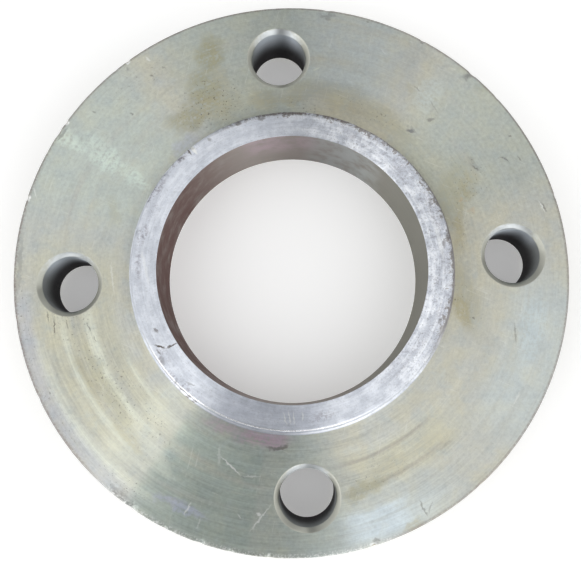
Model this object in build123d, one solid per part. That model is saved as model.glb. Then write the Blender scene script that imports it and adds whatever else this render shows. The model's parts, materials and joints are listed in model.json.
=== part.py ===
# Slip-on pipe flange for three-inch pipe, forged, turned and drilled in one piece of steel.
# A low hub stands on one side and a raised gasket face on the other.
# Millimetres. The origin is the centre of the gasket face, and +Z runs along the bore towards the hub.

from build123d import *

import os
from math import isclose, radians, tan

# Bore and hub
bore_diameter = 91.4  # slips over a pipe 88.9 across
bore_edge_break = 0.3
hub_wall = 8.9  # at the foot of the hub
hub_height = 5.0
hub_draft = 1.0  # degrees
hub_top_round = 0.8
hub_root_fillet = 1.2

# Ring that carries the bolts
ring_thickness = 22.3  # between the two bolt faces
rim_break_front = 0.8  # on the hub's side
rim_break_back = 0.5

# Raised gasket face on the back
gasket_to_hole = 3.175  # from the step to the wall of a bolt hole
gasket_height = 1.6
gasket_edge_break = 0.25

# Bolt holes
bolt_count = 4
bolt_hole_diameter = 19.05
hub_to_bolt = 21.6  # from the foot of the hub to a hole's centre, room for the nut
bolt_to_rim = 19.05  # from a hole's centre to the rim
bolt_chamfer = 1.5  # on the hub's side
bolt_back_break = 0.5

# Radii, from the bore outwards
bore_radius = bore_diameter / 2
hub_foot = bore_radius + hub_wall
hub_crest = hub_foot - hub_height * tan(radians(hub_draft))
bolt_circle_radius = hub_foot + hub_to_bolt
bolt_hole_radius = bolt_hole_diameter / 2
gasket_edge = bolt_circle_radius - bolt_hole_radius - gasket_to_hole
rim_radius = bolt_circle_radius + bolt_to_rim

# Heights, from the gasket face up
back_bolt_face = gasket_height
front_bolt_face = back_bolt_face + ring_thickness
hub_top = front_bolt_face + hub_height


def corners(section, radius, *heights):
    """Corners of the section at one radius and the given heights."""
    at_radius = [v for v in section.vertices() if isclose(v.X, radius)]
    return [v for v in at_radius if any(isclose(v.Y, height, abs_tol=1e-9) for height in heights)]


def half_section():
    """What a lathe leaves of the forging, on one side of the bore's axis."""
    with BuildSketch() as section:
        with BuildLine():
            Polyline(
                (bore_radius, 0),
                (gasket_edge, 0),
                (gasket_edge, back_bolt_face),
                (rim_radius, back_bolt_face),
                (rim_radius, front_bolt_face),
                (hub_foot, front_bolt_face),
                (hub_crest, hub_top),
                (bore_radius, hub_top),
                close=True,
            )
        make_face()
        chamfer(corners(section, bore_radius, 0, hub_top), bore_edge_break)
        chamfer(corners(section, gasket_edge, 0), gasket_edge_break)
        chamfer(corners(section, rim_radius, back_bolt_face), rim_break_back)
        chamfer(corners(section, rim_radius, front_bolt_face), rim_break_front)
        fillet(corners(section, hub_foot, front_bolt_face), hub_root_fillet)
        fillet(corners(section, hub_crest, hub_top), hub_top_round)
    return section.sketch


def turned_ring():
    """Ring, hub and gasket face, turned about the bore."""
    with BuildPart() as ring:
        with BuildSketch(Plane.XZ):
            add(half_section())
        revolve(axis=Axis.Z)
    return ring.part


def rims(part, radius, height):
    """Circular edges of the part with one radius at one height."""
    circles = part.edges().filter_by(GeomType.CIRCLE)
    return [c for c in circles if isclose(c.radius, radius) and isclose(c.center().Z, height)]


def drilled(ring):
    """The ring with its bolt holes, countersunk on the hub's side."""
    with BuildPart() as flange:
        add(ring)
        with Locations((0, 0, front_bolt_face)):
            with PolarLocations(bolt_circle_radius, bolt_count):
                CounterSinkHole(
                    bolt_hole_radius,
                    bolt_hole_radius + bolt_chamfer,
                    depth=ring_thickness,
                    counter_sink_angle=90,
                )
        chamfer(rims(flange, bolt_hole_radius, back_bolt_face), bolt_back_break)
    return flange.part


os.makedirs("parts", exist_ok=True)
export_step(drilled(turned_ring()), "parts/flange.step")
print(f"outside {rim_radius * 2:.1f}, bolt circle {bolt_circle_radius * 2:.1f}, gasket face {gasket_edge * 2:.1f}")
print(f"hub {hub_foot * 2:.1f} at its foot, length through the hub {hub_top:.1f}")
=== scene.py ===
import json
import math
from functools import cached_property

import bmesh
import bpy
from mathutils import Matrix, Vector, noise


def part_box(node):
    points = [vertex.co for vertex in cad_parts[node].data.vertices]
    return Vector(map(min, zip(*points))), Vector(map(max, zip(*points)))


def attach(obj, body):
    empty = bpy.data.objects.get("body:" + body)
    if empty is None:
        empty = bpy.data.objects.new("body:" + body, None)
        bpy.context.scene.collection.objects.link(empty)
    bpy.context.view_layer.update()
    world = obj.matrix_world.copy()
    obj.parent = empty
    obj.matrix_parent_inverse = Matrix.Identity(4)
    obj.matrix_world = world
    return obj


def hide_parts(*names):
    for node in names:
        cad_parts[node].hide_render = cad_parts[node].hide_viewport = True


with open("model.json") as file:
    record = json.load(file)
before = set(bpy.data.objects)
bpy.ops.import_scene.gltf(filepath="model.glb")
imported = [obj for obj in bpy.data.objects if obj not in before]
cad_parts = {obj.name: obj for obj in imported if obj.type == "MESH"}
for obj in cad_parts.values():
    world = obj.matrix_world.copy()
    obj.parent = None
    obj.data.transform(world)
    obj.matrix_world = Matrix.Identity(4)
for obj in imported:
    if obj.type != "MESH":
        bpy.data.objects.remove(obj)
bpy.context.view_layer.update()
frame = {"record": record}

mm = 0.001
mounts = {mount["name"]: mount for mount in frame["record"]["mounts"]}
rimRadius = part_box("flange")[1].x
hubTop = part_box("flange")[1].z
boltFace = mounts["nut_face"]["pos_m"][2]  # height of the face that the hub stands on
boreRadius = mounts["bore"]["dims"]["r_mm"] * mm
boltCircle = mounts["bolt_circle"]["dims"]["pcd_mm"] / 2 * mm
boltCount = mounts["bolt_circle"]["dims"]["count"]
holeRadius = mounts["bolt_circle"]["dims"]["hole_r_mm"] * mm


# Modelling helpers
def startFresh():
    if bpy.context.mode != "OBJECT":
        bpy.ops.object.mode_set(mode="OBJECT")
    bpy.ops.object.select_all(action="DESELECT")


def pickOnly(piece):
    startFresh()
    piece.select_set(True)
    bpy.context.view_layer.objects.active = piece


def editing(piece, kind):
    pickOnly(piece)
    bpy.ops.object.mode_set(mode="EDIT")
    bpy.ops.mesh.select_mode(type=kind)
    bpy.ops.mesh.select_all(action="DESELECT")
    return bmesh.from_edit_mesh(piece.data)


def pickFaces(piece, wanted):
    mesh = editing(piece, "FACE")
    for face in mesh.faces:
        face.select_set(wanted(face.calc_center_median(), face.normal))
    bmesh.update_edit_mesh(piece.data)


def pickEdges(piece, wanted):
    mesh = editing(piece, "EDGE")
    for edge in mesh.edges:
        edge.select_set(all(wanted(vert.co) for vert in edge.verts))
    mesh.select_flush_mode()
    bmesh.update_edit_mesh(piece.data)


def across(point):
    return math.hypot(point.x, point.y)


def bearing(point):
    return math.degrees(math.atan2(point.y, point.x)) % 360


def applyModifier(piece, kind, **settings):
    pickOnly(piece)
    modifier = piece.modifiers.new(kind.title(), kind)
    for name, value in settings.items():
        setattr(modifier, name, value)
    bpy.ops.object.modifier_apply(modifier=modifier.name)


def onCircle(turn, radius, height=0.0):
    place = Vector((math.cos(math.radians(turn)), math.sin(math.radians(turn)), 0)) * radius
    place.z = height
    return place


def smoothStep(value, low, high):
    share = min(max((value - low) / (high - low), 0), 1)
    return share * share * (3 - 2 * share)


# The flange: a turned blank, drilled, then worn
flangeShape = {
    "sides": 960,
    "hubFoot": 54.6 * mm,
    "hubCrest": 54.51 * mm,
    "hubRound": 0.8 * mm,
    "hubFillet": 1.2 * mm,
    "gasketEdge": 63.5 * mm,
    "gasketHeight": 1.6 * mm,
    "gasketBreak": 0.25 * mm,
    "rimRoundFront": 0.8 * mm,
    "rimRoundBack": 0.5 * mm,
    "boreRound": 0.3 * mm,
    "edgeRings": 4,  # closely spaced rings beside the rim and hub edges, for the wear
    "edgeRingGap": 0.55 * mm,
    "sideRings": (0.6 * mm, 1.3 * mm, 2.2 * mm),  # more rings, down the side from the front edge
    "grooveWidth": 0.4 * mm,  # half a turn of the gasket face's serrations
    "grooveDepth": 0.05 * mm,
    "chamfer": 1.5 * mm,
    "chamferRound": 0.22 * mm,  # height of the soft start and the soft end of the chamfer
    "chamferStart": 0.45,  # how fast the hole widens there, against 1 on the chamfer
    "chamferEnd": 2.2,
    "backBreak": 0.5 * mm,
    "holeSides": 128,
    "holeZone": 11.2 * mm,  # round a hole's middle, what gets the hole's finish
    "smoothAngle": 23,  # more than a step of the roundings, less than where the chamfers meet the faces
}


def insetTo(fromRadius, toRadius, depth=0.0):
    flat = math.cos(math.pi / flangeShape["sides"])  # the inset is measured square to the short sides
    bpy.ops.mesh.inset(thickness=(fromRadius - toRadius) * flat, depth=depth)
    return toRadius


def insetRings(fromRadius):
    s = flangeShape
    radius = insetTo(fromRadius, fromRadius - s["hubRound"] - s["edgeRingGap"])
    for ring in range(s["edgeRings"] - 1):
        radius = insetTo(radius, radius - s["edgeRingGap"])
    return radius


def extrudeUp(height, scale=1.0):
    bpy.ops.mesh.extrude_region_move(TRANSFORM_OT_translate={"value": (0, 0, height)})
    bpy.ops.transform.resize(value=(scale, scale, 1), center_override=(0, 0, 0))


def turnedBlank():
    s = flangeShape
    back = s["gasketHeight"]
    startFresh()
    bpy.ops.mesh.primitive_cylinder_add(
        vertices=s["sides"], radius=rimRadius, depth=boltFace - back, location=(0, 0, (boltFace + back) / 2)
    )
    piece = bpy.context.object
    bpy.ops.object.transform_apply(location=True, rotation=True, scale=True)
    pickFaces(piece, lambda middle, normal: normal.z > 0.9)  # the bolt face in to the hub, then the hub
    radius = insetRings(rimRadius)
    radius = insetTo(radius, s["hubFoot"] + s["hubFillet"] + s["edgeRingGap"])
    radius = insetTo(radius, s["hubFoot"])
    extrudeUp(hubTop - boltFace, s["hubCrest"] / s["hubFoot"])
    radius = insetRings(s["hubCrest"])
    insetTo(radius, boreRadius)
    pickFaces(piece, lambda middle, normal: normal.z < -0.9)  # the back with its raised, serrated face
    radius = insetTo(rimRadius, s["gasketEdge"])
    extrudeUp(-back)
    radius = insetTo(radius, radius - 2 * s["grooveWidth"])
    down = True
    while radius > boreRadius + 2.5 * s["grooveWidth"]:
        radius = insetTo(radius, radius - s["grooveWidth"], -s["grooveDepth"] if down else s["grooveDepth"])
        down = not down
    if not down:
        radius = insetTo(radius, radius - s["grooveWidth"], s["grooveDepth"])
    insetTo(radius, boreRadius)
    # the two middles open into the bore
    pickFaces(piece, lambda middle, normal: across(middle) < boreRadius / 2)
    bpy.ops.mesh.bridge_edge_loops()
    return piece


def bevelRing(piece, radius, height, width, segments, reach=0.02 * mm):
    pickEdges(piece, lambda co: abs(across(co) - radius) < reach and abs(co.z - height) < reach)
    bpy.ops.mesh.bevel(offset=width, offset_type="OFFSET", segments=segments, profile=0.5)


def roundEdges(piece):
    s = flangeShape
    bevelRing(piece, rimRadius, boltFace, s["rimRoundFront"], 4)
    bevelRing(piece, rimRadius, s["gasketHeight"], s["rimRoundBack"], 2)
    bevelRing(piece, s["hubCrest"], hubTop, s["hubRound"], 4)
    bevelRing(piece, s["hubFoot"], boltFace, s["hubFillet"], 4)
    bevelRing(piece, boreRadius, hubTop, s["boreRound"], 2)
    bevelRing(piece, boreRadius, 0, s["boreRound"], 2)
    bevelRing(piece, s["gasketEdge"], 0, s["gasketBreak"], 1)
    for below in s["sideRings"]:
        editing(piece, "FACE")
        bpy.ops.mesh.select_all(action="SELECT")
        height = boltFace - s["rimRoundFront"] - below
        bpy.ops.mesh.bisect(plane_co=(0, 0, height), plane_no=(0, 0, 1))


def holeCutter():
    s = flangeShape
    low = s["gasketHeight"] + s["backBreak"]
    high = boltFace - s["chamfer"]
    above, below = 2 * mm, 1 * mm  # how far the cutter stands out past the two faces
    startFresh()
    bpy.ops.mesh.primitive_cylinder_add(
        vertices=s["holeSides"], radius=holeRadius, depth=high - low, location=(0, 0, (low + high) / 2)
    )
    cutter = bpy.context.object
    bpy.ops.object.transform_apply(location=True, rotation=True, scale=True)
    steps = [  # rise, growth of the radius: a soft start, the 45 degree chamfer, a soft end
        (1, s["chamferRound"], s["chamferRound"] * s["chamferStart"]),
        (1, s["chamfer"] - 2 * s["chamferRound"], s["chamfer"] - 2 * s["chamferRound"]),
        (1, above, above * s["chamferEnd"]),
        (-1, s["backBreak"] + below, s["backBreak"] + below),
    ]
    radius = {1: holeRadius, -1: holeRadius}
    for up, rise, growth in steps:
        pickFaces(cutter, lambda middle, normal: normal.z * up > 0.99)
        extrudeUp(up * rise, (radius[up] + growth) / radius[up])
        radius[up] += growth
    bpy.ops.mesh.select_all(action="SELECT")
    bpy.ops.transform.translate(value=(boltCircle, 0, 0))
    startFresh()
    return cutter


def drillHoles(piece):
    cutters = [holeCutter()]
    for hole in range(1, boltCount):
        other = cutters[0].copy()
        other.data = cutters[0].data.copy()
        other.rotation_euler.z = math.tau * hole / boltCount
        bpy.context.scene.collection.objects.link(other)
        cutters.append(other)
    pickOnly(cutters[0])
    for cutter in cutters:
        cutter.select_set(True)
    bpy.ops.object.join()
    applyModifier(piece, "BOOLEAN", operation="DIFFERENCE", object=cutters[0], solver="EXACT")
    bpy.data.objects.remove(cutters[0])


# Dents in the edges: bearing in degrees, half length and depth in mm, and how pointed they are
flangeWear = {
    "rimNicks": [
        (124.4, 1.4, 0.75, 1.6),
        (127.6, 1.0, 0.25, 1.0),
        (143.0, 1.5, 0.70, 1.3),
        (145.6, 2.2, 0.22, 1.0),
        (161.0, 1.5, 0.55, 1.3),
        (150.5, 1.2, 0.20, 1.0),
        (187.0, 2.0, 0.18, 1.0),
        (203.5, 1.6, 0.22, 1.0),
        (232.5, 2.4, 0.32, 1.0),
        (240.0, 1.6, 0.38, 1.4),
        (247.5, 2.6, 0.30, 1.0),
        (254.0, 1.5, 0.34, 1.2),
        (262.0, 2.2, 0.24, 1.0),
        (282.6, 2.1, 0.70, 1.4),
        (307.0, 1.8, 0.18, 1.0),
        (57.0, 1.6, 0.24, 1.0),
        (44.0, 2.4, 0.30, 1.0),
        (36.5, 1.4, 0.22, 1.0),
        (78.8, 1.8, 0.28, 1.2),
        (12.0, 1.6, 0.20, 1.0),
    ],
    "hubNicks": [
        (125.6, 1.5, 0.70, 1.6),
        (131.5, 1.8, 0.32, 1.0),
        (138.5, 2.6, 0.30, 1.0),
        (150.4, 1.6, 0.34, 1.2),
        (162.5, 1.8, 0.28, 1.0),
        (60.0, 3.4, 0.26, 0.8),
        (47.0, 2.6, 0.22, 0.8),
        (30.0, 3.0, 0.24, 0.8),
        (9.0, 2.4, 0.26, 1.0),
        (346.0, 2.0, 0.20, 1.0),
        (222.0, 1.6, 0.22, 1.0),
    ],
    "rimRough": 0.10 * mm,  # depth of the fine unevenness along each edge
    "hubRough": 0.13 * mm,
    "roughReach": 1.3 * mm,  # how far from the edge it fades out
    "reach": 4 * mm,  # how far in and down from an edge its wear goes
    "cutReach": 3.5 * mm,  # how far down the faces near a dent are cut finer
    "slack": 0.1 * mm,
    "inward": 0.72,  # which way the metal gives: towards the axis and down
    "downward": 0.69,
}


def dentDepth(point, nicks, edgeRadius, edgeHeight):
    deepest = 0
    for turn, halfLength, depth, pointed in nicks:
        place = onCircle(turn, edgeRadius, edgeHeight)
        gap = (point - place).length / mm
        gap *= 1 + 0.35 * noise.noise(point / mm * 1.3)
        deepest = max(deepest, depth * (1 - smoothStep(gap, 0, halfLength)) ** pointed)
    return deepest * mm


def edgePart(point, edgeRadius, edgeHeight, reach):
    gap = max(edgeRadius - across(point), edgeHeight - point.z, 0)
    return 1 - smoothStep(gap, 0, reach)


def besideEdge(point, edgeRadius, edgeHeight, down):
    w = flangeWear
    within = edgeRadius - w["reach"] <= across(point) <= edgeRadius + w["slack"]
    return within and point.z >= edgeHeight - down


def dentNear(middle, nicks, edgeRadius, edgeHeight):
    if not besideEdge(middle, edgeRadius, edgeHeight, flangeWear["cutReach"]):
        return False
    for turn, halfLength, *_ in nicks:
        place = onCircle(turn, edgeRadius)
        if math.hypot(middle.x - place.x, middle.y - place.y) < (halfLength + 1) * mm:
            return True
    return False


def wearEdge(piece, nicks, edgeRadius, edgeHeight, rough, roughWhere):
    w = flangeWear
    pickFaces(piece, lambda middle, normal: dentNear(middle, nicks, edgeRadius, edgeHeight))
    bpy.ops.mesh.subdivide(number_cuts=1)
    mesh = bmesh.from_edit_mesh(piece.data)
    for vert in mesh.verts:
        point = vert.co.copy()
        if not besideEdge(point, edgeRadius, edgeHeight, w["reach"]):
            continue
        outward = Vector((point.x, point.y, 0)).normalized()
        onEdge = edgePart(point, edgeRadius, edgeHeight, w["roughReach"])
        ragged = max(noise.noise(point / mm * 0.8) + 0.5 * noise.noise(point / mm * 2.1) + 0.15, 0)
        depth = dentDepth(point, nicks, edgeRadius, edgeHeight)
        depth += rough * ragged * onEdge * roughWhere(bearing(point))
        vert.co -= (outward * w["inward"] + Vector((0, 0, w["downward"]))) * depth
    bmesh.update_edit_mesh(piece.data)


def rimRoughness(turn):
    low = smoothStep(turn, 222, 236) * (1 - smoothStep(turn, 262, 285))
    left = smoothStep(turn, 150, 165) * (1 - smoothStep(turn, 182, 190))
    return 0.35 + 1.1 * low + 0.5 * left


def hubRoughness(turn):
    away = abs((turn - 50 + 180) % 360 - 180)
    return 0.4 + 1.4 * (1 - smoothStep(away, 35, 75))


def makeFlange():
    piece = turnedBlank()
    roundEdges(piece)
    print("flange: blank turned")
    drillHoles(piece)
    print("flange: bolt holes drilled")
    w = flangeWear
    wearEdge(piece, w["rimNicks"], rimRadius, boltFace, w["rimRough"], rimRoughness)
    wearEdge(piece, w["hubNicks"], flangeShape["hubCrest"], hubTop, w["hubRough"], hubRoughness)
    print("flange: edges worn")
    pickOnly(piece)
    piece.name = "flangeBody"
    piece.data.name = "flangeBody"
    bpy.ops.object.shade_smooth_by_angle(angle=math.radians(flangeShape["smoothAngle"]))
    applyModifier(piece, "WEIGHTED_NORMAL", weight=100, keep_sharp=True)
    return piece


def setLevels(elements, levels):  # a run of grey levels, each at its place from 0 to 1
    elements.remove(elements[1])
    for number, (place, level) in enumerate(levels):
        stop = elements.new(place) if number else elements[0]
        stop.position = place
        stop.color = (level, level, level, 1)


def feed(node, values):  # a wire is linked to its socket, anything else is set on it
    for name, value in values.items():
        if isinstance(value, Wire):
            value.tree.links.new(value.socket, node.inputs[name])
        else:
            node.inputs[name].default_value = value


# Shader maths: an expression on wires adds its nodes
class Wire:
    def __init__(self, tree, socket=None):
        self.tree = tree
        self.socket = socket

    def node(self, kind, settings=None, values=None, output=0):
        made = self.tree.nodes.new("ShaderNode" + kind)
        for name, setting in (settings or {}).items():
            if name == "levels":
                setLevels(made.color_ramp.elements, setting)
            else:
                setattr(made, name, setting)
        feed(made, values or {})
        return Wire(self.tree, made.outputs[output] if made.outputs else None)

    def maths(self, operation, *values):
        return self.node("Math", {"operation": operation}, dict(enumerate(values)))

    def __add__(self, other):
        return self.maths("ADD", self, other)

    def __radd__(self, other):
        return self.maths("ADD", other, self)

    def __sub__(self, other):
        return self.maths("SUBTRACT", self, other)

    def __rsub__(self, other):
        return self.maths("SUBTRACT", other, self)

    def __mul__(self, other):
        return self.maths("MULTIPLY", self, other)

    def __rmul__(self, other):
        return self.maths("MULTIPLY", other, self)

    def __truediv__(self, other):
        return self.maths("DIVIDE", self, other)

    def __mod__(self, other):
        return self.maths("FLOORED_MODULO", self, other)

    def most(self, other):
        return self.maths("MAXIMUM", self, other)

    def size(self):
        return self.maths("ABSOLUTE", self)

    def ramp(self, low, high, start=0.0, end=1.0):
        edges = {"From Min": low, "From Max": high, "To Min": start, "To Max": end}
        return self.node("MapRange", {"interpolation_type": "SMOOTHSTEP"}, {"Value": self, **edges})

    def levels(self, stops):
        return self.node("ValToRGB", {"levels": stops}, {0: self})

    def vectors(self, operation, *others, output="Vector", **named):
        values = {0: self, **dict(enumerate(others, 1)), **named}
        return self.node("VectorMath", {"operation": operation}, values, output)

    def part(self, axis):
        return self.node("SeparateXYZ", {}, {0: self}, axis)

    def joined(self, x, y, z):
        return self.node("CombineXYZ", {}, {0: x, 1: y, 2: z})

    def noise(self, place, scale, detail=2.0, rough=0.5, output=0):
        values = {"Vector": place, "Scale": scale, "Detail": detail, "Roughness": rough}
        return self.node("TexNoise", {}, values, output)

    def lit(self, brightness):
        return self.node("HueSaturation", {}, {"Value": brightness, "Color": self})

    def blend(self, mask, first, second):
        return self.node("Mix", {"data_type": "RGBA"}, {0: mask, 6: first, 7: second}, 2)


def asLight(level):
    return level / 255 / 12.92 if level < 11 else ((level / 255 + 0.055) / 1.055) ** 2.4


def paint(red, green, blue):  # a colour as it looks on screen, 0 to 255
    return asLight(red), asLight(green), asLight(blue), 1


steelTones = {
    "face": paint(198, 200, 193),
    "warm": paint(197, 193, 172),
    "yellow": paint(204, 202, 178),
    "cool": paint(198, 211, 215),
    "green": paint(190, 203, 195),
    "shade": paint(170, 183, 176),
    "olive": paint(164, 161, 134),
    "brown": paint(172, 164, 132),
    "rust": paint(192, 160, 124),
    "mauve": paint(190, 166, 182),
    "lavender": paint(186, 190, 212),
    # pale also paints highlights on the face
    "pale": paint(224, 228, 214),
    # mint paints a reflection streak on the face
    "mint": paint(216, 230, 220),
    "ice": paint(216, 229, 237),
    "bright": paint(240, 242, 240),
    "grey": paint(132, 131, 130),
    "dark": paint(98, 92, 88),
    "hub": paint(207, 212, 221),
    "hubDark": paint(146, 143, 152),
    "hubGrey": paint(172, 173, 182),
    "hubBright": paint(242, 245, 250),
    "hubShade": paint(168, 174, 192),
    "bore": paint(156, 149, 144),
    "boreRed": paint(106, 84, 80),
    "boreOlive": paint(138, 137, 129),
    "hole": paint(138, 142, 142),
    "holeFar": paint(192, 200, 208),
    "holeDeep": paint(46, 44, 46),
    "edge": paint(146, 138, 134),
    "rim": paint(136, 131, 128),
    "glint": paint(252, 252, 254),
    # chamfer is the painted highlight on the far side of each chamfer
    "chamfer": paint(208, 213, 215),
    "chamferDull": paint(186, 187, 177),
}

# Regions: bearing from and to, inner and outer radius in mm, softness of bearing and radius, strength
faceRegions = {
    "warm": [
        (-22, 78, 50, 66, 24, 8, 0.75),
        (95, 112, 50, 72, 14, 12, 0.5),
        (335, 380, 62, 74, 20, 12, 0.3),
    ],
    "yellow": [(172, 224, 62, 87, 14, 6, 0.55), (282, 312, 66, 79, 12, 6, 0.5)],
    "cool": [
        (320, 352, 76, 97, 14, 10, 0.45),
        (62, 84, 66, 97, 14, 10, 0.45),
        (130, 172, 55, 97, 20, 4, 0.2),
        (270, 300, 80, 97, 14, 8, 0.4),
    ],
    "green": [(128, 160, 55, 97, 16, 6, 0.45)],
    # painted shade: the first two paint a dark reflection, a sharp edged wedge across the lower left; the
    # last two darken two wedges towards the top
    "shade": [
        (231, 258, 58, 97, 3, 14, 0.85),
        (238, 274, 48, 97, 18, 4, 0.55),
        (18, 46, 55, 97, 16, 8, 0.4),
        (84, 116, 52, 97, 14, 6, 0.45),
    ],
    # painted highlights: bright concentric bands of sheen across the lower left, and a brighter wedge up to
    # the painted dark reflection
    "pale": [
        (190, 231, 69.5, 73, 24, 2.2, 0.7),
        (194, 231, 79, 81.2, 22, 1.6, 0.65),
        (199, 231, 87.5, 91, 22, 2.4, 0.65),
        (205, 231, 62.5, 64, 10, 1.6, 0.5),
        (220, 231, 55, 95, 7, 6, 0.4),
    ],
    "lavender": [(182, 230, 90, 97, 12, 4, 0.35)],
    "ice": [(279, 291, 83.5, 93, 7, 3.5, 0.7), (288, 297, 86, 92, 8, 4, 0.25)],
    "edge": [(280, 308, 67.2, 68.2, 8, 1.2, 0.45), (288, 306, 76.0, 77.2, 8, 1.4, 0.38)],
}

# Stains, and a painted reflection streak: x, y, half length and half width in mm, turn in degrees, softness,
# strength
faceStainsAndSheen = {
    # painted reflection: a pale radial streak of sheen at the upper left
    "mint": [
        (-74, 50, 9, 4.0, -36, 0.9, 0.55),
        (-62, 42.5, 10, 4.6, -35, 0.9, 0.7),
        (-52.5, 35.5, 8, 3.4, -33, 0.9, 0.55),
        (-66, 49, 7, 4.6, -20, 0.9, 0.4),
    ],
    "olive": [
        (-24.5, 79, 10, 6.0, 84, 0.75, 0.8),
        (-27, 67, 10, 7, 100, 0.8, 0.7),
        (-33, 56, 10, 6, 20, 0.8, 0.7),
        (20, 62, 15, 5.5, -18, 0.9, 0.32),
        (37, 50, 15, 5.0, -48, 0.9, 0.32),
        (9, 64, 10, 4.0, 0, 0.9, 0.35),
        (58, 24, 16, 7, 70, 0.85, 0.4),
        (59, -14, 15, 6, 104, 0.85, 0.4),
        (-64, -36, 22, 3.0, 118, 0.85, 0.35),
        (-60.5, 24, 7.0, 2.6, 92, 0.8, 0.28),
        (18.5, -74.8, 10, 3.4, 20, 0.8, 0.6),
        (72, 60, 3.5, 2.0, 140, 0.8, 0.30),
        (46.7, 61.7, 3.5, 1.3, -45, 0.8, 0.35),
    ],
    "brown": [
        (-24, 60, 12, 7.5, 8, 0.85, 0.5),
        (-20.5, 69, 7, 4.4, 80, 0.85, 0.35),
        (-6, 61, 7.5, 4.2, 0, 0.85, 0.45),
        (4, 60.4, 7, 2.4, 0, 0.85, 0.45),
        (22, 56.5, 12, 3.0, -20, 0.85, 0.25),
        (63, 25, 7.0, 4.4, 62, 0.85, 0.45),
        (58.5, 10, 10.5, 2.6, 86, 0.8, 0.55),
        (56.5, -18, 8.5, 3.6, 108, 0.8, 0.62),
        (28, -68, 12, 3.6, 22, 0.85, 0.25),
        (41, -61.5, 10, 3.0, 32, 0.8, 0.2),
        (35, -88, 5, 2.4, 24, 0.8, 0.45),
        (-71, -32, 13, 2.4, 116, 0.8, 0.35),
        (-58, -53.5, 11, 2.0, 132, 0.8, 0.32),
    ],
    "rust": [(63.6, 16.4, 2.2, 1.2, 30, 0.9, 0.3), (60.5, 19.5, 1.3, 0.8, 0, 0.9, 0.3)],
    "mauve": [(-13, -56, 12, 4.4, -10, 0.95, 0.8), (-26, -51.5, 8, 3.0, -28, 0.9, 0.5)],
    "lavender": [(-42, -76, 12.5, 2.4, -28, 0.9, 0.6), (-35, 46.5, 7, 2.6, 42, 0.8, 0.35)],
    "cool": [(80, -26, 14, 6.2, 74, 0.6, 0.5), (52, 59, 9, 6, 40, 0.8, 0.35)],
    "grey": [
        (-61.5, -70, 5.2, 1.7, -48, 0.9, 0.65),
        (-93, 8, 13, 1.3, 84, 0.8, 0.4),
        (67, 65.2, 4.6, 1.4, -14, 0.9, 0.7),
        (45.6, 46.6, 2.6, 1.2, -25, 0.8, 1.0),
        (51.6, 50.4, 1.5, 1.1, 0, 0.9, 0.8),
        (65.5, 33, 4.6, 1.4, -50, 0.9, 0.35),
        (76.6, 33.6, 2.8, 0.8, -40, 0.8, 0.95),
        (-8.5, -59.2, 4.8, 1.2, 4, 0.9, 1.0),
        (19, 91.2, 4.0, 0.9, -14, 0.9, 0.5),
        (21, -91.2, 2.2, 0.9, 12, 0.8, 0.6),
        (-77.2, 53.2, 3.0, 0.8, 55, 0.9, 0.6),
        (-54, 75.2, 1.1, 0.8, 60, 0.9, 0.5),
    ],
}

# Strokes: from x, y to x, y and width in mm, strength
faceStrokes = {
    "pale": [
        (12, 70.8, 14.6, 71.9, 0.7, 0.6),
        (-53, -53.5, -44.5, -65, 4.0, 0.35),
    ],
    "bright": [
        (-28.6, -60, -21, -68, 0.55, 0.75),
        (-21.5, -67.8, -14.5, -68.2, 0.5, 0.4),
        (-20.3, -86.2, -11.4, -76.8, 0.55, 0.6),
        (-41, -79.2, -38, -74.6, 0.6, 0.6),
        (-23.4, -79.6, -22.2, -81.2, 0.5, 0.5),
        (-37, -84, -35.4, -80, 0.5, 0.35),
        (-28, -57, -28.6, -64, 1.0, 0.3),
        (87, 18.8, 89, 13.8, 0.5, 0.6),
        (-47, 79.5, -45.5, 77.8, 0.8, 0.5),
        (36, 78, 39, 74.5, 0.5, 0.3),
        (-88, 36, -86.6, 30, 0.5, 0.4),
        (70, -52, 74, -46, 0.5, 0.3),
        (-62, 8, -61, -6, 0.6, 0.3),
        (-15.9, -80.6, -16.7, -80, 1.1, 0.8),
    ],
    "dark": [
        (52, 58, 55.2, 51.8, 0.5, 0.28),
        (-81.7, -10.5, -81.4, -17.6, 0.45, 0.75),
        (-83.9, -8.6, -83.2, -13.0, 0.4, 0.5),
        (-77.4, -12.4, -77.0, -15.6, 0.45, 0.5),
        (-70.6, -13.6, -69.4, -16.8, 0.5, 0.55),
        (-68.6, -18.2, -67.4, -20.6, 0.5, 0.45),
        (36.3, -78.7, 39.2, -85.3, 0.6, 0.45),
        (41, -79.6, 39.0, -84.6, 0.5, 0.35),
        (44.4, -64.2, 50, -60.2, 1.0, 0.25),
        (87.9, 18, 89.6, 14.2, 0.6, 0.5),
        (74.2, -23, 74, -31, 0.6, 0.4),
        (65, 32.6, 67.2, 30.4, 0.6, 0.5),
        (81.4, 35, 82.8, 32.8, 0.5, 0.45),
        (47, 63, 49.5, 60.6, 0.5, 0.4),
        (-66.4, 60.8, -65.4, 59.8, 0.7, 0.4),
        (-45.8, 72.8, -44.6, 72.4, 0.7, 0.45),
        (-53, 59, -52.2, 58.4, 0.8, 0.5),
        (60.1, -20.6, 60.8, -21, 0.7, 0.6),
        (-41.4, 75.4, -40.4, 75.0, 0.6, 0.35),
        (32.4, 88, 33.2, 87.6, 0.7, 0.5),
        (51, 79, 52, 78.4, 0.7, 0.5),
        (79, 42.6, 79.8, 42, 0.7, 0.5),
    ],
}

# The hub's painted glint lines, and its marks, are laid out in the same ways
hubGlints = [(206, 288, 53.9, 54.3, 24, 0.3, 0.85), (214, 300, 55.2, 55.5, 24, 0.3, 0.5)]

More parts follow.
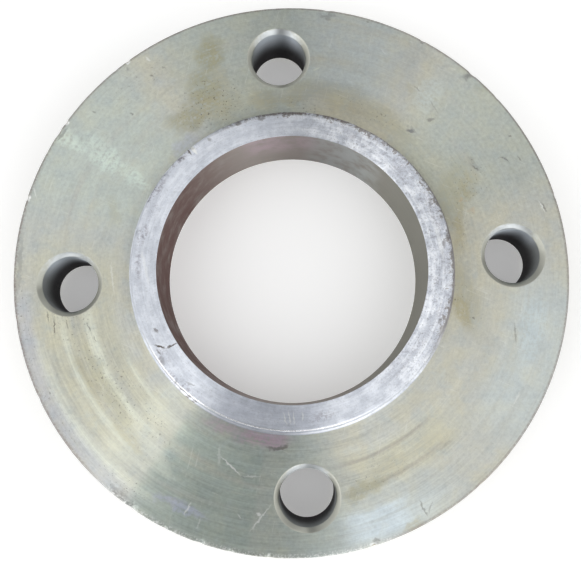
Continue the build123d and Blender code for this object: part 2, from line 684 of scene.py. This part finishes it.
hubStains = [
    (4, 54.4, 7, 1.5, 0, 0.8, 0.95),
    (19, 50.2, 6.5, 2.6, -22, 0.85, 0.5),
    (31, 43.4, 8, 2.4, -38, 0.85, 0.55),
    (24, 44.6, 5, 2.2, -28, 0.9, 0.45),
    (41.5, 33, 6, 2.2, -52, 0.9, 0.6),
    (38, 31.5, 4, 3, -50, 0.9, 0.4),
    (49.5, 16, 9, 2.2, -76, 0.85, 0.7),
    (52, 0, 8, 1.8, 88, 0.85, 0.6),
    (48.5, -8, 3, 1.6, 80, 0.8, 0.6),
    (48.6, -19, 5, 2.4, 68, 0.85, 0.6),
    (41, -27.5, 8, 2.2, 54, 0.85, 0.45),
    (32, -37, 9, 2.0, 40, 0.85, 0.45),
    (6, -50.2, 6, 2.2, 8, 0.9, 0.6),
    (-44.5, -27, 4, 3, 118, 0.9, 0.5),
    (-49.5, 14.5, 4.5, 2.2, 74, 0.8, 0.9),
    (-44.5, 29.5, 8, 2.2, 56, 0.8, 0.9),
    (-36.5, 39.5, 7, 1.6, 42, 0.8, 0.8),
    (-46, 22, 5, 1.6, 64, 0.9, 0.5),
    (-51.5, 5, 10, 1.4, 88, 0.9, 0.6),
    (-41, -35.5, 9, 2.8, -38, 0.85, 0.9),
]

hubStrokes = {
    "bright": [
        (-32.6, 45.0, -30.0, 41.2, 1.2, 1.0),
        (-6.2, -47.2, -5.2, -52.4, 0.4, 0.6),
        (-4.6, -47.0, -3.8, -52.2, 0.4, 0.6),
        (-3.0, -47.2, -2.6, -52.4, 0.4, 0.6),
        (0.2, -47.4, 0.0, -51.6, 0.4, 0.45),
        (-50.5, 10, -48, -4, 1.2, 0.3),
        (49.4, 12, 51.4, -2, 1.6, 0.3),
    ],
    "dark": [
        (-33.8, 43.6, -31.8, 41.2, 0.7, 0.9),
        (-47.2, -23.0, -43.6, -24.2, 0.8, 1.0),
        (-43.6, -24.2, -39.6, -22.9, 0.7, 0.95),
        (-46.6, -24.4, -45.2, -26.4, 0.6, 0.6),
        (-47, -17.6, -46.2, -18.8, 1.1, 0.7),
        (-45.6, -27, -44.4, -29.6, 1.5, 0.4),
        (-40.4, -37.6, -37.0, -39.2, 0.8, 0.85),
        (-40.2, -40.8, -35.4, -40.4, 1.0, 0.85),
        (-38.6, -42.6, -34.2, -42.2, 1.0, 0.75),
        (-37.6, -35.8, -34.2, -37.4, 0.6, 0.4),
        (-35.6, 40.6, -34.6, 39.8, 1.0, 0.6),
        (-26, 46.4, -25.0, 46.0, 1.0, 0.5),
        (-16, 51, -14.6, 51.2, 1.4, 0.6),
        (-8.4, 52.4, -6.2, 52.4, 1.3, 0.6),
        (48.6, 20, 48.0, 17.6, 1.1, 0.4),
        (51.8, 6.4, 51.6, 3.8, 1.2, 0.5),
        (48.4, -20.4, 47.4, -22.0, 1.1, 0.5),
    ],
}


# Where a point of the surface is, in mm. Each value's nodes are made when a material first uses it
class Places:
    def __init__(self, wire):
        self.wire = wire

    @cached_property
    def point(self):
        return self.wire.node("TexCoord", output="Object").vectors("SCALE", Scale=1000)

    @cached_property
    def x(self):
        return self.point.part(0)

    @cached_property
    def y(self):
        return self.point.part(1)

    @cached_property
    def z(self):
        return self.point.part(2)

    @cached_property
    def flat(self):
        return self.wire.joined(self.x, self.y, 0)

    @cached_property
    def radius(self):
        return self.flat.vectors("LENGTH", output="Value")

    @cached_property
    def heading(self):
        return self.flat.vectors("NORMALIZE")

    @cached_property
    def cloud(self):
        return self.wire.noise(self.point, 0.09, 3, 0.55)

    @cached_property
    def grain(self):
        return self.wire.noise(self.point, 0.8, 4, 0.65)

    @cached_property
    def blurred(self):  # the place pushed about, so that what is laid out on it has uneven edges
        return self.shifted(0.2, 7)

    @cached_property
    def shaky(self):
        return self.shifted(0.9, 1.5)

    @cached_property
    def fine(self):
        return self.turnedLines(2.2, 7, 2)

    @cached_property
    def medium(self):
        return self.turnedLines(0.8, 3, 3)

    @cached_property
    def broad(self):
        return self.turnedLines(0.25, 1.6, 3)

    def shifted(self, scale, reach):
        push = self.wire.noise(self.point, scale, 3, 0.6, "Color")
        pushX, pushY = ((push.part(axis) - 0.5) * reach for axis in (0, 1))
        return self.wire.joined(self.x + pushX, self.y + pushY, 1)

    # noise drawn out round the axis, as a lathe tool leaves it
    def turnedLines(self, fineness, length, detail):
        along = (self.heading.part(axis) * length for axis in (0, 1))
        place = self.wire.joined((self.radius + self.z) * fineness, *along)
        return self.wire.noise(place, 1.0, detail, 0.55)

    # a part of the turn, told by the cosine of the way to its middle
    def sector(self, start, end, soft, strength=1.0):
        half = (end - start) / 2
        along = self.dot(self.heading, tuple(onCircle((start + end) / 2, 1)))
        outside = math.cos(math.radians(half + soft / 2))
        inside = math.cos(math.radians(max(half - soft / 2, 0)))
        return along.ramp(outside, inside, 0, strength)

    def dot(self, first, second):
        return first.vectors("DOT_PRODUCT", second, output="Value")

    def ringBand(self, inner, outer, soft):
        away = (self.radius - (inner + outer) / 2).size()
        return away.ramp((outer - inner + soft) / 2, (outer - inner - soft) / 2)

    def region(self, start, end, inner, outer, softTurn, softRadius, strength):
        return self.sector(start, end, softTurn, strength) * self.ringBand(inner, outer, softRadius)

    # an ellipse; place has 1 as its third part
    def spot(self, place, x, y, halfLong, halfWide, turn, soft, strength):
        c, s = math.cos(math.radians(turn)), math.sin(math.radians(turn))
        along, over = (
            self.dot(place, (right / half, up / half, -(x * right + y * up) / half))
            for right, up, half in ((c, s, halfLong), (-s, c, halfWide))
        )
        return (along * along + over * over).ramp(1, (1 - soft) ** 2, 0, strength)


# What lies within a part of the full turn, which is told by its first and last bearing
def turnsMeet(first, second):
    for one, other in ((first, second), (second, first)):
        if (other[0] - one[0]) % 360 <= one[1] - one[0]:
            return True
    return False


def spotsWithin(part, spots):
    found = []
    for spot in spots:
        x, y, halfLong = spot[:3]
        turn = math.degrees(math.atan2(y, x))
        spread = math.degrees(math.asin(min((halfLong + 4) / math.hypot(x, y), 1)))
        if turnsMeet(part, (turn - spread, turn + spread)):
            found.append(spot)
    return found


def regionsWithin(part, regions):
    return [one for one in regions if turnsMeet(part, (one[0] - one[4] / 2, one[1] + one[4] / 2))]


def asSpot(x, y, endX, endY, width, strength):  # a stroke is a long thin spot
    turn = math.degrees(math.atan2(endY - y, endX - x))
    halfLong = math.hypot(endX - x, endY - y) / 2 + width / 2
    return (x + endX) / 2, (y + endY) / 2, halfLong, width * 0.65, turn, 0.75, strength


def together(masks):
    total = None
    for mask in masks:
        total = mask if total is None else total.most(mask)
    return total


def marked(at, colour, masks, tone, broken=1.0):  # a tone laid over the colour where the masks are
    mask = together(masks)
    return colour if mask is None else at.wire.blend(mask * broken, colour, steelTones[tone])


def strokesOver(at, part, colour, strokes):
    for tone, group in strokes.items():
        spots = spotsWithin(part, [asSpot(*values) for values in group])
        colour = marked(at, colour, (at.spot(at.shaky, *spot) for spot in spots), tone)
    return colour


steelLook = {
    "lineTone": 0.64,  # how much the turning lines lighten and darken the face
    "grainTone": 0.52,
    "mottleTone": 0.36,
    "cloudTone": 0.32,
    "roughFace": 0.42,
    "roughHub": 0.38,
    "roughHole": 0.55,
    "roughChamfer": 0.34,
    "metalFace": 0.92,
    "metalHub": 0.95,
    "metalHole": 0.55,
    "metalBore": 0.75,
    "anisotropic": 0.97,
    "aniTurn": 0.25,  # highlights run across the turning lines
    "hairTone": 0.22,
    "speckleTone": 0.3,  # how much the hub's blotches lighten and darken it
}

# Where small dark pits crowd: x, y, half length and half width in mm, turn, softness, strength
pittedAreas = [
    (-24, 61, 16, 12, 10, 0.8, 1.0),
    (-76, -14, 12, 8, 100, 0.8, 0.6),
    (-56, -44, 30, 9, 122, 0.8, 0.75),
    (-66, -34, 24, 5, 117, 0.8, 0.8),
    (-60, -68, 12, 4, -46, 0.8, 1.0),
    (63, 27, 9, 13, 0, 0.8, 0.6),
    (58, -16, 6, 14, 20, 0.8, 0.5),
    (24, -70, 14, 6, 18, 0.8, 0.6),
    (-50, 70, 16, 7, 40, 0.8, 0.35),
    (-91, -12, 20, 3.5, 98, 0.8, 0.9),
    (-80, -44, 20, 3.0, 119, 0.8, 0.6),
    (30, 56, 16, 4.5, -36, 0.85, 0.6),
    (7, 58, 12, 4, -4, 0.85, 0.6),
    (58, 12, 16, 6, 84, 0.85, 0.5),
]


def steelMaterial(name, finish):
    material = bpy.data.materials.new(name)
    material.use_nodes = True
    tree = material.node_tree
    at = Places(Wire(tree))
    colour, rough, metal, height = finish(at)
    values = {
        "Base Color": colour,
        "Roughness": rough,
        "Metallic": metal,
        "Normal": at.wire.node("Bump", {}, {"Strength": 1.0, "Distance": mm, "Height": height}),
        "Anisotropic": steelLook["anisotropic"],
        "Anisotropic Rotation": steelLook["aniTurn"],
    }
    feed(tree.nodes["Principled BSDF"], values)
    return material


def faceSteel(at, part):
    wire, tones, look = at.wire, steelTones, steelLook
    colour = wire.blend(at.cloud.ramp(0.42, 0.64) * 0.5, tones["face"], tones["warm"])
    # the regions lay tints, painted shade (shade) and painted highlights (pale) over the face
    for tone, regions in faceRegions.items():
        masks = (at.region(*values) for values in regionsWithin(part, regions))
        colour = marked(at, colour, masks, tone, at.broad.ramp(0.1, 0.55))
    streaked = (at.grain.ramp(0.32, 0.6) * 0.6 + at.medium.ramp(0.3, 0.6) * 0.4).ramp(0.05, 0.8)
    # the stain groups, with mint as a painted reflection streak
    for tone, spotGroup in faceStainsAndSheen.items():
        masks = (at.spot(at.blurred, *values) for values in spotsWithin(part, spotGroup))
        colour = marked(at, colour, masks, tone, streaked)
    mottled = wire.noise(at.point, 0.24, 4, 0.62)
    colour = wire.blend(mottled.ramp(0.48, 0.70) * 0.16, colour, tones["olive"])
    colour = wire.blend(mottled.ramp(0.50, 0.30) * 0.20, colour, tones["cool"])
    clear = 0.45 + 0.55 * at.sector(186, 312, 24)
    turned = ((at.fine - 0.5) * 0.6 + (at.medium - 0.5) * 0.6 + (at.broad - 0.5) * 0.5) * clear
    uneven = (at.grain - 0.5) * look["grainTone"] + (mottled - 0.5) * look["mottleTone"]
    bright = 1 + turned * look["lineTone"] + uneven + (at.cloud - 0.5) * look["cloudTone"]
    colour = colour.lit(bright)
    pits = wire.noise(at.point, 1.25, 3, 0.6).ramp(0.60, 0.70)
    crowded = together(at.spot(at.blurred, *values) for values in spotsWithin(part, pittedAreas))
    spread = 0.1 if crowded is None else crowded * 0.8 + 0.1
    colour = wire.blend(pits * spread, colour, tones["dark"])
    for along, over in ((0.3, 1.0), (1.0, -0.5)):  # two runs of hair scratches
        hairs = wire.joined((at.x * over - at.y * along) * 1.6, (at.x * along + at.y * over) * 0.05, 0)
        hairs = wire.noise(hairs, 1.0, 2, 0.5).ramp(0.66, 0.72) * mottled.ramp(0.42, 0.56)
        colour = wire.blend(hairs * look["hairTone"], colour, tones["bright"])
    colour = strokesOver(at, part, colour, faceStrokes)
    colour = edgeColour(at, part, colour)
    rough = look["roughFace"] + (at.medium - 0.5) * 0.16 + (at.grain - 0.5) * 0.12
    return colour, rough, look["metalFace"], at.fine * 0.015 + at.grain * 0.008


def edgeColour(at, part, colour):
    wire, tones = at.wire, steelTones
    flecks = wire.noise(at.point, 1.5, 4, 0.65)
    # painted highlights: along the lower left the rim's dark edge line is lifted and glinting flecks are
    # painted bright
    glintSide = at.sector(224, 286, 14)
    line = at.radius.ramp(94.0, 94.7) * (1 - glintSide * 0.8) * flecks.ramp(0.25, 0.6)
    colour = wire.blend(line * 0.75, colour, tones["edge"])
    rubbed = at.radius.ramp(93.0, 94.8) * at.sector(152, 226, 20) * flecks.ramp(0.42, 0.60)
    colour = wire.blend(rubbed * 0.5, colour, tones["edge"])
    shiny = at.radius.ramp(93.2, 94.6) * glintSide * flecks.ramp(0.44, 0.64)
    colour = wire.blend(shiny * 0.9, colour, tones["bright"])
    struck = [
        (*onCircle(turn, rimRadius / mm - 0.8).xy, halfLength * 0.85, 0.8, turn + 90, 0.8, 1.0)
        for turn, halfLength, depth, _ in flangeWear["rimNicks"]
        if depth > 0.5
    ]
    masks = (at.spot(at.shaky, *values) for values in spotsWithin(part, struck))
    return marked(at, colour, masks, "bright")


def hubSteel(at):
    wire, tones, look = at.wire, steelTones, steelLook
    coarse = wire.noise(at.point, 0.27, 5, 0.7)
    speckle = wire.noise(at.point, 0.9, 5, 0.75)
    busy = 0.15 + 0.75 * at.sector(-48, 72, 30)  # the side that is knocked about most
    streaked = coarse * 0.6 + at.medium * 0.4
    shiny = streaked.ramp(0.42, 0.61) * (0.3 + 0.6 * at.sector(-50, 80, 30))
    colour = wire.blend(shiny, tones["hub"], tones["hubBright"])
    dull = (speckle * 0.55 + streaked * 0.45).ramp(0.48, 0.40)
    colour = wire.blend(dull * busy * 0.85, colour, tones["hubGrey"])
    patchy = (speckle + (coarse - 0.5) * 0.5).ramp(0.44, 0.62)
    spotGroup = (at.spot(at.shaky, *values) for values in hubStains)
    colour = marked(at, colour, spotGroup, "hubDark", patchy)
    chewed = (at.radius + (speckle - 0.5) * 9 + (coarse - 0.5) * 9).ramp(53.0, 54.6)
    colour = wire.blend(chewed * at.sector(-32, 100, 30) * 0.9, colour, tones["rim"])
    burnt = at.region(66, 114, 53.2, 56.2, 14, 1.2, 0.7)
    colour = wire.blend(burnt * (speckle * 0.5 + coarse * 0.5).ramp(0.40, 0.54), colour, tones["dark"])
    # painted shade: the painted dark reflection carried over the hub's lower left
    colour = wire.blend(at.sector(237, 277, 10) * 0.25, colour, tones["hubShade"])
    pits = wire.noise(at.point, 1.7, 3, 0.6).ramp(0.56, 0.66)
    colour = wire.blend(pits * (0.15 + busy * 0.35), colour, tones["grey"])
    colour = colour.lit(1 + (at.fine + coarse - 1) * look["speckleTone"])
    colour = strokesOver(at, (0, 360), colour, hubStrokes)
    # painted highlights: glint lines along the hub's edge and its foot at the lower left
    glint = together(at.region(*values) for values in hubGlints)
    colour = wire.blend(glint, colour, tones["glint"])
    rough = look["roughHub"] + (0.5 - streaked) * 0.4 - glint * 0.15
    return colour, rough, look["metalHub"], at.fine * 0.01 + speckle * 0.015


def boreSteel(at):
    wire, tones, look = at.wire, steelTones, steelLook
    film = wire.noise(at.point, 0.16, 4, 0.6)
    # painted reflection: a reddish brown floor reflected in the bore's left wall, broken up by the film
    red = at.sector(126, 238, 50) * film.ramp(0.1, 0.6)
    olive = at.sector(300, 410, 40)
    colour = wire.blend(olive, wire.blend(red, tones["bore"], tones["boreRed"]), tones["boreOlive"])
    colour = wire.blend(at.sector(50, 74, 20) * film.ramp(0.3, 0.6) * 0.35, colour, tones["cool"])
    pinkish = at.sector(80, 104, 16) * at.z.ramp(8, 20) * film.ramp(0.3, 0.6)
    colour = wire.blend(pinkish * 0.45, colour, tones["mauve"])
    colour = colour.lit(1 + (at.medium - 0.5) * 0.12 + (film - 0.5) * 0.4)
    rough = look["roughHole"] + (film - 0.5) * 0.3
    return colour, rough, look["metalBore"], at.fine * 0.006 + at.medium * 0.008


def holeSteel(at):
    wire, tones, look = at.wire, steelTones, steelLook
    start = (boltFace - flangeShape["chamfer"]) / mm  # height where the chamfer starts
    rings = wire.noise(wire.joined(0, 0, at.z), 1.6, 3, 0.6)
    away = wire.node("TexCoord", output="Normal").part(1)  # the far side of each hole gets a painted highlight
    wall = wire.blend(away.ramp(-0.2, -0.9), tones["hole"], tones["holeFar"])
    # painted shade: the walls darken deeper down each hole
    colour = wire.blend(at.z.ramp(start + 0.4, 8), wall, tones["holeDeep"])
    colour = colour.lit(0.8 + rings * 0.4)
    chamfer = at.z.ramp(start - 0.2, start + 0.3)
    # painted highlight: the far side of each chamfer is painted bright
    glintSide = (away + (at.grain - 0.5) * 0.5).ramp(-0.30, -0.66)
    colour = wire.blend(chamfer, colour, wire.blend(glintSide, tones["chamferDull"], tones["chamfer"]))
    rough = look["roughHole"] + (at.grain - 0.5) * 0.2 + chamfer * (look["roughChamfer"] - look["roughHole"])
    metal = look["metalHole"] + chamfer * (look["metalFace"] - look["metalHole"])
    return colour, rough, metal, rings * 0.03


def plainSteel(at):
    wire, tones, look = at.wire, steelTones, steelLook
    colour = wire.blend(at.cloud.ramp(0.4, 0.62), tones["face"], tones["warm"])
    scale = wire.noise(at.point, 0.5, 5, 0.7)
    colour = wire.blend(scale.ramp(0.52, 0.66) * 0.5, colour, tones["edge"])
    colour = colour.lit(0.9 + (at.medium - 0.5) * 0.45 + (at.fine - 0.5) * 0.5)
    rough = look["roughFace"] + (at.medium - 0.5) * 0.16 + (scale - 0.5) * 0.3
    return colour, rough, look["metalFace"], at.fine * 0.015 + scale * 0.02


faceParts = 8  # the bolt face is finished in parts, each with only the marks that reach into it


# The number of a mesh face's finish: 0 plain, 1 hub, 2 bore, 3 bolt holes, from 4 on the bolt face's parts
def finishZone(middle):
    s = flangeShape
    hair = 0.01 * mm
    onX, onY = abs(middle.x), abs(middle.y)
    holeGap = math.hypot(max(onX, onY) - boltCircle, min(onX, onY))
    if holeGap < s["holeZone"] and s["gasketHeight"] + hair < middle.z < boltFace - hair:
        return 3
    if across(middle) < boreRadius + 5 * hair and middle.z > s["boreRound"]:
        return 2
    if middle.z < boltFace - 0.9 * s["rimRoundFront"]:
        return 0
    if across(middle) < s["hubFoot"] + s["hubFillet"]:
        return 1
    return 4 + int(bearing(middle) * faceParts / 360) % faceParts


def finishFlange(piece):
    piece.data.materials.clear()
    finishes = {"Plain": plainSteel, "Hub": hubSteel, "Bore": boreSteel, "Hole": holeSteel}
    for name, finish in finishes.items():
        piece.data.materials.append(steelMaterial("steel" + name, finish))
    for number in range(faceParts):
        part = (number * 360 / faceParts, (number + 1) * 360 / faceParts)
        piece.data.materials.append(steelMaterial(f"steelFace{number}", lambda at: faceSteel(at, part)))
    for face in piece.data.polygons:
        face.material_index = finishZone(face.center)


flange = makeFlange()
triangles = sum(len(face.vertices) - 2 for face in flange.data.polygons)
print("flange: modelled,", len(flange.data.vertices), "vertices,", triangles, "triangles")
finishFlange(flange)
print("flange: steel made")
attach(flange, "root")
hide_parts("flange")


# Floor, light and camera
studio = {
    "floorSize": 6,
    "floorColour": (0.84, 0.84, 0.84, 1),
    "floorRough": 0.9,
    "floorLift": 0.25,  # what the floor adds for camera and glossy rays, to end up near white
    "pole": (0.0054, 0.1444),  # the dome's sides turn about this direction
    # how bright the dome is towards each bearing, up high and near the floor
    "low": [
        (0, 0.70),
        (40, 0.50),
        (140, 0.50),
        (190, 1.00),
        (208, 1.00),
        (230, 1.60),
        (285, 1.80),
        (325, 1.10),
        (360, 0.70),
    ],
    "lowTop": (0.12, 0.42),
    "sides": [
        (0, 0.95),
        (10, 0.55),
        (24, 0.50),
        (42, 0.62),
        (62, 1.02),
        (76, 0.98),
        (90, 0.29),
        (105, 0.28),
        (122, 0.62),
        (140, 0.90),
        (175, 1.00),
        (190, 1.40),
        (208, 1.50),
        (222, 2.05),
        (231, 2.55),
        (233, 0.42),
        (258, 0.12),
        (266, 0.25),
        (274, 1.20),
        (284, 1.85),
        (300, 1.55),
        (315, 1.38),
        (345, 1.30),
        (360, 0.95),
    ],
}


def makeWorld():
    world = bpy.data.worlds.new("studio")
    bpy.context.scene.world = world
    world.use_nodes = True
    world.node_tree.nodes.clear()
    wire = Wire(world.node_tree)
    direction = wire.node("TexCoord", output="Generated")
    x, y, z = (direction.part(axis) for axis in (0, 1, 2))
    poleX, poleY = studio["pole"]
    turn = wire.maths("ARCTAN2", y - poleY, x - poleX) / math.tau % 1
    sides, low = (
        turn.levels([(toward / 360, level) for toward, level in studio[height]])
        for height in ("sides", "low")
    )
    bright = low + (sides - low) * z.ramp(*studio["lowTop"])
    seen = wire.node("LightPath", output="Is Camera Ray")
    background = {"Color": (1, 1, 1, 1), "Strength": bright * (1 - seen) + seen}
    wire.node("OutputWorld", {}, {"Surface": wire.node("Background", {}, background)})


def makeFloor():
    startFresh()
    bpy.ops.mesh.primitive_plane_add(size=studio["floorSize"], location=(0, 0, 0))
    floor = bpy.context.object
    floor.name = "floor"
    material = bpy.data.materials.new("floor")
    material.use_nodes = True
    wire = Wire(material.node_tree)
    camera, glossy = (wire.node("LightPath", output=ray) for ray in ("Is Camera Ray", "Is Glossy Ray"))
    values = {
        "Base Color": studio["floorColour"],
        "Roughness": studio["floorRough"],
        "Specular IOR Level": 0.0,
        "Emission Color": wire.blend(camera.most(glossy), (0, 0, 0, 1), (1, 1, 1, 1)),
        "Emission Strength": studio["floorLift"],
    }
    feed(material.node_tree.nodes["Principled BSDF"], values)
    floor.data.materials.append(material)


cameraPlace = {
    "location": (-1.45 * mm, -38.99 * mm, 289.61 * mm),
    "rotation": (8.105, -0.648, -3.862),  # degrees
    "lens": 48.57,
    "shift": (-0.0245, -0.0280),
    "nearest": 0.01,
}


def makeCamera():
    place = cameraPlace
    turned = [math.radians(turn) for turn in place["rotation"]]
    bpy.ops.object.camera_add(location=place["location"], rotation=turned)
    camera = bpy.context.object
    camera.data.lens = place["lens"]
    camera.data.shift_x, camera.data.shift_y = place["shift"]
    camera.data.clip_start = place["nearest"]
    bpy.context.scene.camera = camera


makeFloor()
makeWorld()
makeCamera()
bpy.context.scene.view_settings.view_transform = "Standard"
print("studio: floor, light and camera placed")
